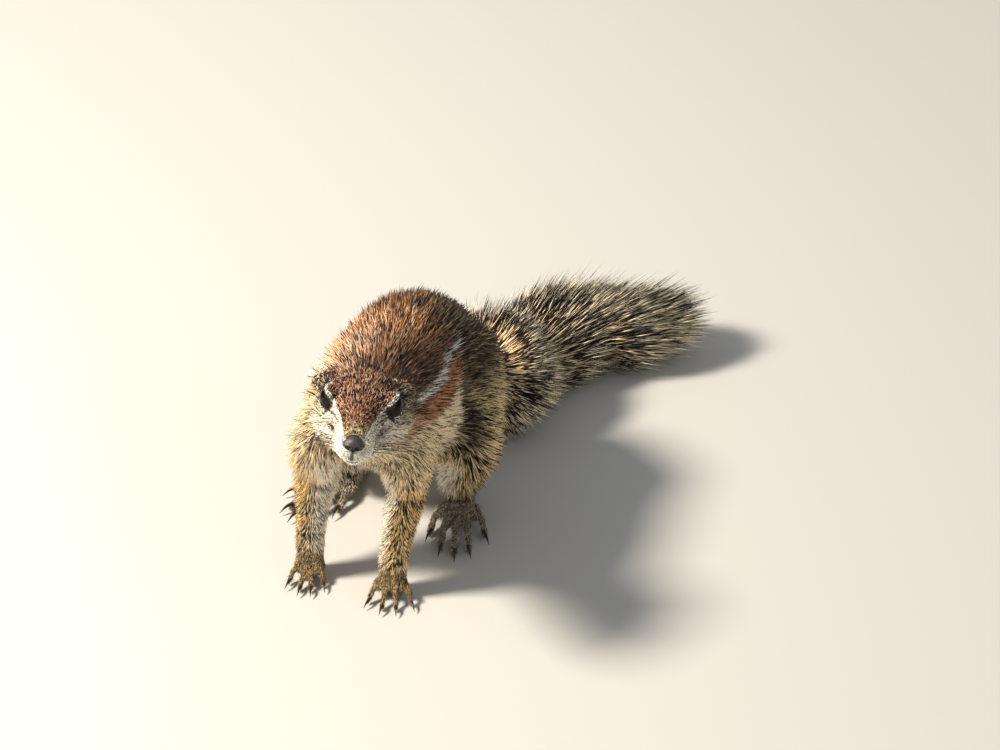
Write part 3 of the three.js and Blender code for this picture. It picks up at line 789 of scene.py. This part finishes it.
def claw_line(node):
    """The line of a claw from root to tip, found from its solid: it runs along the solid's longest axis,
    and its thin end is the tip."""
    place = corners(node)
    middle = place.mean(0)
    axis = np.linalg.svd(place - middle, full_matrices=False)[2][0]
    t = (place - middle) @ axis
    ends = [place[t < np.quantile(t, 0.12)], place[t > np.quantile(t, 0.88)]]
    ends.sort(key=lambda end: -np.ptp(end, axis=0).sum())
    return ends[0].mean(0), ends[1].mean(0)


for foot, count, thick in (("fore", 4, 0.00068), ("hind", 5, 0.00084)):
    for side in "LR":
        nodes = [f"{foot}_claw_{side}{i + 1}" for i in range(count)]
        t = np.linspace(0, 1, 16)
        horns = []
        for root, tip in map(claw_line, nodes):
            arch = np.sin(np.pi * t) * np.linalg.norm(tip - root) * 0.10
            line = root + (0.88 * t[:, None] - 0.05) * (tip - root) + arch[:, None] * np.array([0, 0, 1.0])
            horns.append(tube(line, thick * (1 - 0.86 * t**1.5), 12))
        place, faces = joined(horns)
        place[:, 2] = np.maximum(place[:, 2], 0.0003)
        claws = mesh_object(f"claws_{foot}_{side}", place, faces)
        number_layer(claws.data, "along", np.tile(np.r_[np.repeat(t, 12), 0, 1], count))
        claws.data.polygons.foreach_set("use_smooth", [True] * len(faces))
        claws.data.materials.append(horn)
        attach(claws, "root")
        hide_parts(*nodes)


# The coat: solid tapering tufts that grow from the skin and lie the way the hair lies, from nose to tail and
# down the limbs. Each is a thin closed spike; the short ones are straight and the long ones bend.
LIE = {
    "head": back_of_head + [0, 0, -0.12], "neck": np.array([0, 1, -0.15]),
    "upper_arm": np.array([0, 0.35, -1]), "forearm": np.array([0, 0.15, -1]),
    "thigh": np.array([0, 0.75, -0.8]), "shank": np.array([0, 0.45, -1]),
    "fore_foot": np.array([0, -1, -0.35]), "hind_foot": np.array([0, -1, -0.25]),
}
flows = []
for part, (start, end, _) in BONES.items():
    flow = np.asarray(LIE.get(part.rstrip("_LR123"), end - start), float)
    flows.append(flow / np.linalg.norm(flow))
FLOWS = np.array(flows)
LENGTH = {  # of one hair, in metres
    "head": 0.0038, "neck": 0.0086, "chest": 0.0086, "rump": 0.0090, "hips": 0.0096, "upper_arm": 0.0074,
    "forearm": 0.0048, "fore_foot": 0.0020, "thigh": 0.0094, "shank": 0.0098, "hind_foot": 0.0022,
}
LIFT = {  # degrees off the skin
    "head": 32, "neck": 36, "chest": 47, "rump": 52, "hips": 45, "upper_arm": 32,
    "forearm": 28, "fore_foot": 11, "thigh": 34, "shank": 26, "hind_foot": 9,
}
WIDTH = {  # of one hair at its thickest, in metres
    "head": 0.00034, "neck": 0.00044, "chest": 0.00050, "rump": 0.00050, "hips": 0.00050,
    "upper_arm": 0.00044, "forearm": 0.00038, "fore_foot": 0.00026, "thigh": 0.00048, "shank": 0.00044,
    "hind_foot": 0.00026,
}
CROWDING = {  # hairs to a square millimetre
    "head": 6.6, "neck": 4.0, "chest": 3.6, "rump": 3.3, "hips": 3.3, "upper_arm": 3.8,
    "forearm": 5.4, "fore_foot": 5.6, "thigh": 3.5, "shank": 4.2, "hind_foot": 5.6, "tail": 0.0,
}
DARK_TIPS = {  # the share of hairs with a black tip
    "head": 0.36, "neck": 0.26, "chest": 0.32, "rump": 0.34, "hips": 0.40, "upper_arm": 0.22, "forearm": 0.20,
    "thigh": 0.36, "shank": 0.22, "hind_foot": 0.08, "fore_foot": 0.14,
}
BAKE_PATCH = 0.0015  # half the width of a hair's patch on the map


def scatter(seed, crowding):
    """Roots spread evenly over the skin. The running sum of area times crowding is cut at even steps, and
    each root is put at random in the triangle that its step falls in."""
    luck = np.random.default_rng(seed)
    a, b, c = (skin_place[triangles[:, k]] for k in range(3))
    area = np.linalg.norm(np.cross(b - a, c - a), axis=1) / 2
    density = crowding[triangles].mean(1) * 1e6
    total = np.cumsum(area * density)
    ticks = np.arange(0.5, total[-1]) + luck.uniform(-0.5, 0.5, int(np.ceil(total[-1] - 0.5)))
    chosen = np.searchsorted(total, ticks % total[-1])
    one, other = luck.random(len(chosen)), luck.random(len(chosen))
    flip = one + other > 1
    one, other = np.where(flip, 1 - one, one), np.where(flip, 1 - other, other)
    share = np.stack([1 - one - other, one, other], axis=1)
    root = (skin_place[triangles[chosen]] * share[:, :, None]).sum(1)
    normal = (skin_normal[triangles[chosen]] * share[:, :, None]).sum(1)
    return root, normal / np.linalg.norm(normal, axis=1, keepdims=True), luck


def in_tufts(root, size, luck):
    """Gathers hairs into tufts, one to each cube of a grid of this size. Gives for each hair the middle of
    its tuft's roots, and a number from 0 to 1 that the whole tuft shares."""
    cube = np.floor(root / np.broadcast_to(size, len(root))[:, None] + 4096).astype(np.int64)
    _, own = np.unique(cube @ [1, 8192, 8192**2], return_inverse=True)
    number = np.bincount(own)
    middle = np.stack([np.bincount(own, root[:, k]) for k in range(3)], axis=1) / number[:, None]
    return middle[own], luck.random(len(number))[own]


def unwrapped(root, owner):
    """An unwrap of the skin that a coat piece grows from. Each of its bones has an upright strip of the map:
    the angle round the bone goes across the strip, and the length along the bone goes up it."""
    bones, spot = np.unique(owner), np.empty((len(root), 2))
    for column, bone in enumerate(bones):
        mine = owner == bone
        start, end, _ = BONES[PARTS[bone]]
        axis = (end - start) / np.linalg.norm(end - start)
        across = np.cross(axis, [0.9, -0.2, 0.3])
        over = np.cross(axis, across)
        offset = root[mine] - start
        turn = np.arctan2(offset @ across, offset @ over) / (2 * np.pi) + 0.5
        along = offset @ axis
        spot[mine, 0] = (column + 0.02 + 0.96 * turn) / len(bones)
        spot[mine, 1] = 0.01 + 0.98 * (along - along.min()) / np.ptp(along)
    return spot


def on_skin(way, normal):
    """Ways laid on the skin: what points out of it is taken off, and the rest is made one long."""
    way = way - normal * (way * normal).sum(1, keepdims=True)
    return way / np.maximum(np.linalg.norm(way, axis=1, keepdims=True), 1e-9)


def lie_of_hair(root, normal, weight):
    """The way the hair lies at each root: the flow of the nearest bones, laid on the skin."""
    flow = weight @ FLOWS
    behind = (normal * flow).sum(1) * part_share(weight, "rump", "hips")
    return on_skin(flow - [0, 0, 1.2] * step(behind, 0.3, 0.8)[:, None], normal)


def strayed(lean, normal, degrees):
    """Each hair's way turned on the skin by so many degrees."""
    turned = np.radians(degrees)[:, None]
    return lean * np.cos(turned) + np.cross(normal, lean) * np.sin(turned)


def hair_piece(name, finish, hairs, mine, joints, droop, flat=0.6):
    """A joined mesh of closed spindles, for those of the hairs that are in `mine`. Each spindle's middle line
    leaves its root at `lift` over the skin towards `lean`, and ends nearer the skin by the share `droop`.
    Three corners stand round it at each joint, the first of them thickest, and one ends it at each end."""
    root, normal, lean, length, width, lift, low, high, tone, owner = (values[mine] for values in hairs)
    count = len(root)
    t = np.r_[-0.06, (np.arange(joints) + 0.65) / (joints + 0.1), 1.0]
    rise, arrival = np.radians(lift)[:, None], np.radians(lift * (1 - droop))[:, None]
    leave = normal * np.sin(rise) + lean * np.cos(rise)
    bend = normal * np.sin(arrival) + lean * np.cos(arrival) - leave
    along = t[None, :, None]
    middle = root[:, None] + length[:, None, None] * (along * leave[:, None] + 0.5 * along**2 * bend[:, None])
    side = np.cross(normal, lean)
    over = np.cross(leave, side)
    turn = np.radians([90, 210, 330])
    ring = np.cos(turn)[None, :, None] * side[:, None] + flat * np.sin(turn)[None, :, None] * over[:, None]
    girth = (width / 2)[:, None] * (1 - 0.6 * np.arange(joints) / joints)[None, :]
    corner = middle[:, 1:-1, None] + ring[:, None] * girth[:, :, None, None]
    place = np.concatenate([corner.reshape(count, -1, 3), middle[:, :1], middle[:, -1:]], axis=1)
    floor_level = 0.0004 + 0.0006 * np.abs(np.sin(np.arange(count) * 2.4))[:, None]
    place[:, :, 2] = np.maximum(place[:, :, 2], floor_level)

    # The faces of one spindle, and each corner's spot on its patch of the map.
    each, base, end = joints * 3 + 2, joints * 3, joints * 3 + 1
    rim = np.stack([np.cos(turn), np.sin(turn)], axis=1)
    faces, spots = [], []
    for k in range(3):
        j = (k + 1) % 3
        faces.append((k, j, base))
        spots.append([rim[k], rim[j], rim[k] + rim[j]])
        for row in range(joints - 1):
            a, b = row * 3 + k, row * 3 + j
            far, near = 1 - (row + 1) / joints, 1 - row / joints
            faces += [(a, b + 3, b), (a, a + 3, b + 3)]
            spots.append([rim[k] * near, rim[j] * far, rim[j] * near])
            spots.append([rim[k] * near, rim[k] * far, rim[j] * far])
        a, b = (joints - 1) * 3 + k, (joints - 1) * 3 + j
        faces.append((a, end, b))
        spots.append([rim[k] / joints, rim[k] * 0, rim[j] / joints])
    tri = (np.array(faces)[None] + (np.arange(count) * each)[:, None, None]).reshape(-1)
    patch = np.array(spots).reshape(1, -1, 2) * BAKE_PATCH + unwrapped(root, owner)[:, None]
    mesh = bpy.data.meshes.new(name)
    mesh.vertices.add(count * each)
    mesh.vertices.foreach_set("co", place.astype(np.float32).ravel())
    mesh.loops.add(len(tri))
    mesh.loops.foreach_set("vertex_index", tri.astype(np.int32))
    mesh.polygons.add(len(tri) // 3)
    mesh.polygons.foreach_set("loop_start", np.arange(0, len(tri), 3, dtype=np.int32))
    mesh.polygons.foreach_set("use_smooth", np.ones(len(tri) // 3, bool))
    mesh.update(calc_edges=True)
    mesh.uv_layers.new(name="OFBake").data.foreach_set("uv", patch.astype(np.float32).ravel())
    along = np.r_[np.repeat(t[1:-1], 3), 0.0, 1.0]
    shade = low[:, None] * (1 - along[None, :, None]) + high[:, None] * along[None, :, None]
    colour_layer(mesh, "coat", shade.reshape(-1, 3))
    number_layer(mesh, "along", np.tile(along, count))
    number_layer(mesh, "tone", np.repeat(tone, each))
    made = bpy.data.objects.new(name, mesh)
    bpy.context.scene.collection.objects.link(made)
    mesh.materials.append(finish)
    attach(made, "root")


def hair_finish(name, stops, roughness=0.62):
    """Hair: its own colour, shaded along its length by the ramp's stops, with a soft sheen. Each hair's tone
    shifts the ramp a little along it."""
    material, tree, shader = new_material(name, roughness, 0.35)
    shift = add_node(tree, "ShaderNodeMath", operation="MULTIPLY_ADD")
    shift.inputs[1].default_value = 0.16
    tree.links.new(carried(tree, "tone").outputs["Fac"], shift.inputs[0])
    tree.links.new(carried(tree, "along").outputs["Fac"], shift.inputs[2])
    bands = add_node(tree, "ShaderNodeValToRGB", {"Fac": shift.outputs["Value"]})
    ramp_stops(bands, stops)
    mix = add_node(tree, "ShaderNodeMix", data_type="RGBA", blend_type="MULTIPLY")
    mix.inputs["Factor"].default_value = 1.0
    tree.links.new(carried(tree, "coat").outputs["Color"], mix.inputs["A"])
    tree.links.new(bands.outputs["Color"], mix.inputs["B"])
    tree.links.new(mix.outputs["Result"], shader.inputs["Base Color"])
    return material


def nearest_eye(points):
    """How far points are from the nearer eye's middle, and how many times outside its opening they are."""
    rounds = [round_the_eye(points, name) for name in LOOK]
    return np.min([gap for _, gap, _, _ in rounds], axis=0), np.min([oval for *_, oval in rounds], axis=0)


def nearest_ear(points):
    """How many times outside the nearer ear's rim points are."""
    return np.min([round_the_ear(in_head(points), name)[0] for name in EAR_MIDDLE], axis=0)


# No hair grows on the lids' rims, on the nose or in the ears' slits, and little on the soles. It grows
# closest on the muzzle.
skin_place, skin_normal, triangles = arrays(skin.data)
skin_weight = nearness(skin_place)
crowding = blended(skin_weight, CROWDING, 0)
eye_gap, lid_oval = nearest_eye(skin_place)
nose_gap = np.linalg.norm(skin_place - nose_middle, axis=1)
soles = part_share(skin_weight, "fore_foot", "hind_foot") * (skin_normal[:, 2] < -0.3)
crowding *= 1 - step(0.9 - nearest_ear(skin_place), 0, 0.2)
crowding *= ((lid_oval > 1.16) | (eye_gap > 0.0075)) & (nose_gap > 0.0026)
crowding *= 1 - 0.8 * soles
crowding *= 1 + 0.8 * step(0.024 - in_head(skin_place)[:, 1], 0, 0.012)
root, normal, luck = scatter(7, crowding)
for name in LOOK:
    from_eye, gap, _, _ = round_the_eye(root, name)
    steep = ((in_head(root + normal * 0.001) - in_head(root)) * from_eye).sum(1) / gap < 0.00045
    kept = ~(steep & (gap < 0.0068))
    root, normal = root[kept], normal[kept]
weight = nearness(root)
lean = lie_of_hair(root, normal, weight)
face = in_head(root) * 1000
head = part_share(weight, "head")
muzzle = step(24 - face[:, 1], 0, 16) * head
lids = step(-nearest_eye(root)[0], -0.010, -0.0062)
cheek = head * step(face[:, 1], 18, 34) * step(-face[:, 2], -9, 2)
nape = head * step(face[:, 1], 33, 50)
near_ear = step(3.8 - nearest_ear(root), 0, 1.6)
outer = step(TRUNK_MIDDLE - root[:, 0], 0.008, 0.018) * part_share(weight, "neck", "chest", "upper_arm")
count = len(root)
length = blended(weight, LENGTH, 0.005) * (1 - 0.60 * muzzle) * (1 - 0.6 * lids)
length *= (1 + 0.9 * np.maximum(cheek, nape)) * (1 - 0.60 * near_ear) * (1 + 0.35 * outer)
length *= luck.normal(1, 0.17, count).clip(0.5, 1.6)
lift = blended(weight, LIFT, 25) * (1 - 0.35 * muzzle) * (1 - 0.45 * lids) + luck.normal(0, 6, count)
lift = (lift + 12 * outer) * (1 - 0.6 * near_ear)
width = blended(weight, WIDTH, 0.0004) * (1 - 0.35 * muzzle) * luck.uniform(0.75, 1.25, count)
lean = strayed(lean, normal, luck.normal(0, 11, count))

# The hairs of a tuft lean together, and on the front of the forearm they part from a middle line.
fine = blended(weight, {"head": 1, "fore_foot": 1, "hind_foot": 1}, 0) > 0.5
middle, tuft_luck = in_tufts(root, np.where(fine, 0.0009, 0.0015), luck)
pull = 0.75 - 0.3 * part_share(weight, "upper_arm", "forearm")
lean = on_skin(lean + (middle - root) / length[:, None] * pull[:, None], normal)
fore = part_share(weight, "forearm") * step(-normal[:, 1], 0.1, 0.6)
arm_middle = np.where(root[:, 0] > TRUNK_MIDDLE, centre("forearm_L")[0], centre("forearm_R")[0])
parting = 0.75 * fore * np.tanh((root[:, 0] - arm_middle) / 0.002)
lean = on_skin(lean + [1.0, 0, 0] * parting[:, None], normal)

# Each hair takes the marking under it. Some are black-tipped and some cream-tipped, which grizzles the coat.
rise = np.radians(lift)[:, None]
seen = root + 0.7 * length[:, None] * (normal * np.sin(rise) + lean * np.cos(rise))
base = markings(seen, normal, nearness(seen))
brightness = base.mean(1)
dark_share = blended(weight, DARK_TIPS, 0.1) * np.clip((0.95 - brightness) / 0.40, 0.10, 1)
dark_share *= 1 - head * (0.85 - 0.7 * step(0.5 - brightness, 0, 0.12))
dark_share *= (1 - 0.8 * outer) * (1 - 0.7 * near_ear)
dark_share += 0.16 * head * step(face[:, 1], 12, 18)
pick = np.where(luck.random(count) < 0.6, tuft_luck, luck.random(count))
glow = (0.35 + 1.25 * np.where(luck.random(count) < 0.5, tuft_luck * 7 % 1, luck.random(count)))[:, None]
tip = base * glow
pale = (CREAM + PINKISH) * (0.02 + 1.1 * brightness.clip(0, 0.38))[:, None]
tip = np.where((pick > 0.80 - 0.08 * head)[:, None], base * 0.5 + pale, tip)
ticked = (pick > 0.84) & (brightness < 0.14) & (part_share(weight, "thigh", "rump", "hips") > 0.5)
tip = np.where(ticked[:, None], STRAW * 0.6, tip)
black = (pick < dark_share)[:, None]
tip = np.where(black, INK, tip)
# Each hair's root end is painted dark: partly the hair's own dark base, partly painted shade deep in the
# coat. Short hairs at the front of the face and hairs of pale markings get brighter roots.
pale_face = 0.65 * step(15 - face[:, 1], 0, 10) + 0.45 * step(brightness, 0.5, 0.7)
low = base * ((0.10 + pale_face * head) * luck.uniform(0.7, 1.2, count))[:, None]
low = np.where(black, INK, low)
tone = luck.uniform(-0.5, 0.5, count)
# The ramp keeps each hair dark to near its middle and brightens its outer part to 1.25 to 1.5 times its
# colour: painted shade low in the coat and painted light on the tips.
body_hair = hair_finish("body_hair", [(0.0, 0.2), (0.46, 0.28), (0.62, 1.25), (1.0, 1.5)])
owner = weight.argmax(1)
kind = np.array([part.rstrip("_LR123") for part in PARTS])[owner]
left = root[:, 0] > TRUNK_MIDDLE
groups = {
    "coat_head": (kind == "head", "head_fur"),
    "coat_neck": (kind == "neck", "back_fur"),
    "coat_chest": (kind == "chest", "back_fur"),
    "coat_rump_L": ((kind == "rump") & left, "back_fur"),
    "coat_rump_R": ((kind == "rump") & ~left, "back_fur"),
    "coat_hips": (kind == "hips", "back_fur"),
    "coat_arms": (np.isin(kind, ["upper_arm", "forearm"]), "limb_fur"),
    "coat_legs": (np.isin(kind, ["thigh", "shank"]), "limb_fur"),
    "coat_feet": (np.isin(kind, ["fore_foot", "hind_foot"]), "limb_fur"),
}
hairs = (root, normal, lean, length, width, lift, low, tip, tone, owner)
for name, (mine, slot) in groups.items():
    hair_piece(name, body_hair, hairs, mine, joints=1, droop=0.4)

# Whiskers: stiff dark bristles in rows on the pads of the upper lip, each rooted in the skin, that sweep
# outwards and back.
WHISKER_ROWS = [  # back from the nose tip, up from it, and length, in metres
    (0.0062, -0.0022, 0.018), (0.0078, -0.0036, 0.022), (0.0094, -0.0020, 0.025), (0.0090, -0.0052, 0.020),
    (0.0112, -0.0038, 0.029), (0.0128, -0.0022, 0.027), (0.0126, -0.0056, 0.026), (0.0146, -0.0042, 0.031),
]
beards = []
skin_face = in_head(skin_place)
for sign in (1, -1):
    own = np.flatnonzero(skin_face[:, 0] * sign > 0.001)
    for back, up, size in WHISKER_ROWS:
        gaps = np.hypot(skin_face[own, 1] - back, skin_face[own, 2] - up)
        beards.append((own[gaps.argmin()], sign, size))
nearest, sign, length = (np.array(column) for column in zip(*beards))
count = len(beards)
luck = np.random.default_rng(5)
root = skin_place[nearest]
normal = np.stack([sign, np.full(count, -0.10), np.full(count, 0.05)], axis=1) @ HEAD_AXES
normal /= np.linalg.norm(normal, axis=1, keepdims=True)
lean = on_skin(np.array([0, 1.0, -0.25]) @ HEAD_AXES + luck.normal(0, 0.12, (count, 3)), normal)
bristle = hair_finish("bristle", [(0.0, 1.0), (1.0, 1.0)], 0.4)
dark = np.broadcast_to(INK, (count, 3))
width, lift = np.full(count, 0.00034), luck.uniform(44, 64, count)
hairs = (root, normal, lean, length, width, lift, dark, dark, np.zeros(count), nearness(root).argmax(1))
hair_piece("whiskers", bristle, hairs, np.full(count, True), joints=8, droop=0.5, flat=1.0)

# The tail's brush: long banded hairs that stand out from the bone all round and point backwards, longest at
# the sides, lying on the ground underneath.
crowding = part_share(skin_weight, "tail") * 11.5
crowding *= step(skin_place[:, 1], rump_rear[1] - 0.004, rump_rear[1] + 0.006)
root, normal, luck = scatter(11, crowding)
count = len(root)
along_tail = along_line(root, TAIL_LINE)
ahead = np.gradient(TAIL_LINE, axis=0)
ahead /= np.linalg.norm(ahead, axis=1, keepdims=True)
bone = ahead[(along_tail * (len(TAIL_LINE) - 1)).astype(int)]
facing = (normal * bone).sum(1)
lean = strayed(on_skin(bone, normal), normal, luck.normal(0, 9, count))
middle, tuft_luck = in_tufts(root, 0.0018, luck)
sideways = np.abs(normal[:, 0])
grown = step(along_tail, 0.25, 0.5)
ending = step(along_tail, 0.8, 1.0)
length = 0.019 + 0.016 * grown + 0.005 * sideways * grown + 0.002 * ending
length *= luck.normal(1, 0.13, count).clip(0.5, 1.2)
lift = (24 + 12 * sideways + 8 * (1 - grown)) * (1 - 0.55 * ending)
lift += luck.normal(0, 3, count) + 8 * (tuft_luck - 0.5)
lift += (90 - lift) * step(facing, 0.45, 0.85)
length *= 1 - 0.35 * step(normal[:, 0], 0, 0.7) * step(0.62 - along_tail, 0, 0.3)
lean = on_skin(lean + (middle - root) / length[:, None] * 1.5, normal)
width = 0.00043 * luck.uniform(0.6, 1.3, count)
tone = np.where(luck.random(count) < 0.55, tuft_luck, luck.random(count)) - 0.5
pick = np.where(luck.random(count) < 0.6, tuft_luck * 5 % 1, luck.random(count))[:, None]
base = np.where(pick < 0.42, UMBER * 0.4, WHITE * luck.uniform(0.85, 1.15, (count, 1)))
base *= 1 - 0.2 * step(along_tail, 0.55, 0.85)[:, None]
pale = pick > 0.62
tip, base = np.where(pale, base * 1.6, base), np.where(pale, base * 1.35, base)
tail_finish = hair_finish("tail_hair", [
    (0.0, srgb(120, 86, 58)), (0.14, srgb(150, 112, 76)), (0.20, srgb(64, 44, 33)),
    (0.32, srgb(54, 38, 29)), (0.38, srgb(244, 222, 188)), (0.60, srgb(240, 216, 180)),
    (0.66, srgb(56, 40, 31)), (0.79, srgb(48, 35, 28)), (0.84, srgb(250, 236, 210)),
])
third = np.searchsorted(np.quantile(along_tail, [0.333, 0.667]), along_tail)
hairs = (root, normal, lean, length, width, lift, base, tip, tone, nearness(root).argmax(1))
for number, name in enumerate(["tail_hair_near", "tail_hair_middle", "tail_hair_far"]):
    hair_piece(name, tail_finish, hairs, third == number, joints=2, droop=0.35)

# The floor and the light: a pale plain sheet under the animal, a broad soft light from its right, and a weak
# cool one from its left.
sheet = np.array([[-6, -6, -0.0002], [6, -6, -0.0002], [6, 6, -0.0002], [-6, 6, -0.0002]])
floor_sheet = mesh_object("floor", sheet, [[0, 1, 2, 3]])
pale_floor, tree, shader = new_material("pale_floor", 0.9)
shader.inputs["Base Color"].default_value = (0.56, 0.53, 0.48, 1)
floor_sheet.data.materials.append(pale_floor)

world = bpy.data.worlds.new("studio")
world.use_nodes = True
world.node_tree.nodes["Background"].inputs["Color"].default_value = (0.86, 0.92, 1, 1)
world.node_tree.nodes["Background"].inputs["Strength"].default_value = 0.4
bpy.context.scene.world = world


def soft_light(name, azimuth, height, distance, size, power, tint=(1, 1, 1)):
    """A round light that looks at the model from an azimuth and height."""
    lamp = bpy.data.lights.new(name, "AREA")
    lamp.shape, lamp.size, lamp.energy, lamp.color = "DISK", size, power, tint
    made = bpy.data.objects.new(name, lamp)
    a, h = math.radians(azimuth), math.radians(height)
    made.location = aim + distance * np.array(
        [math.sin(a) * math.cos(h), -math.cos(a) * math.cos(h), math.sin(h)]
    )
    made.rotation_euler = (math.pi / 2 - h, 0, a)
    bpy.context.scene.collection.objects.link(made)


soft_light("key", -62, 44, 1.6, 0.34, 52, (1, 0.94, 0.84))
soft_light("fill", 75, 30, 1.8, 1.4, 3, (0.9, 0.95, 1))
bpy.context.scene.view_settings.view_transform = "Standard"
